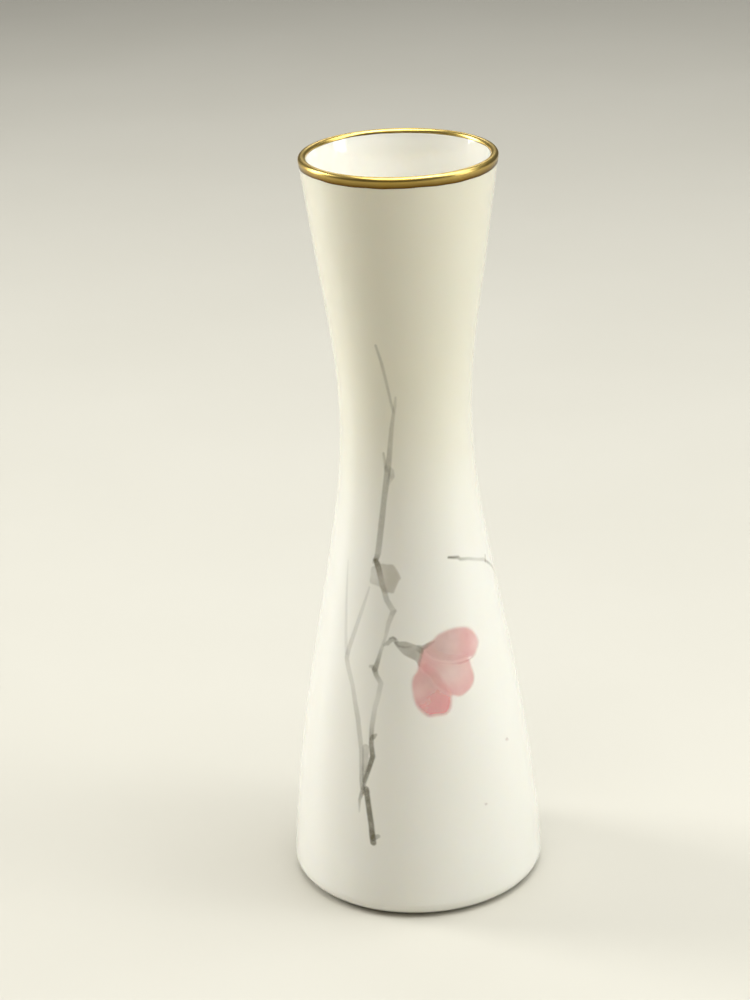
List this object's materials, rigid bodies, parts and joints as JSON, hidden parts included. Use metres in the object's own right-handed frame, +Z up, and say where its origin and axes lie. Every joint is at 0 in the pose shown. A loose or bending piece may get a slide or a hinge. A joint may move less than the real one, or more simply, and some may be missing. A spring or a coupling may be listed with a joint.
{
  "type": "bud vase",
  "caption": "Tall waisted porcelain bud vase with a round foot, narrow neck, flared mouth, gold lip and a painted blossom branch.",
  "frame": {"origin": "centre of the foot, on the surface that the vase stands on", "axes": "+Z up the axis of the round form; -Y is the painted front; +X is the viewer's right when facing the front"},
  "size_m": [0.051, 0.051, 0.15],
  "materials": {
    "bisque_porcelain": "matt unglazed porcelain, smooth and slightly chalky",
    "clear_glaze": "warm white porcelain under a clear, very glossy glaze",
    "fired_gold": "hand-laid bright gold, polished with fine wear",
    "grey_branch_paint": "soft grey-green brushed colour sunk in the glaze, glossy",
    "dark_stalk_paint": "dark grey-green brushed colour sunk in the glaze, glossy",
    "pink_petal_paint": "translucent pink wash sunk in the glaze, glossy",
    "taupe_leaf_paint": "thin taupe wash sunk in the glaze, glossy"
  },
  "bodies": {
    "root": {"porcelain_body": "bisque_porcelain", "glaze_coat": "clear_glaze", "underside_glaze": "clear_glaze", "gold_rim_band": "fired_gold", "painted_main_branch": "grey_branch_paint", "painted_side_branch": "grey_branch_paint", "painted_right_twig": "grey_branch_paint", "painted_flower_stalk": "dark_stalk_paint", "painted_upper_petal": "pink_petal_paint", "painted_middle_petal": "pink_petal_paint", "painted_lower_petal": "pink_petal_paint", "painted_leaf": "taupe_leaf_paint", "painted_flecks": "pink_petal_paint"}
  },
  "joints": []
}
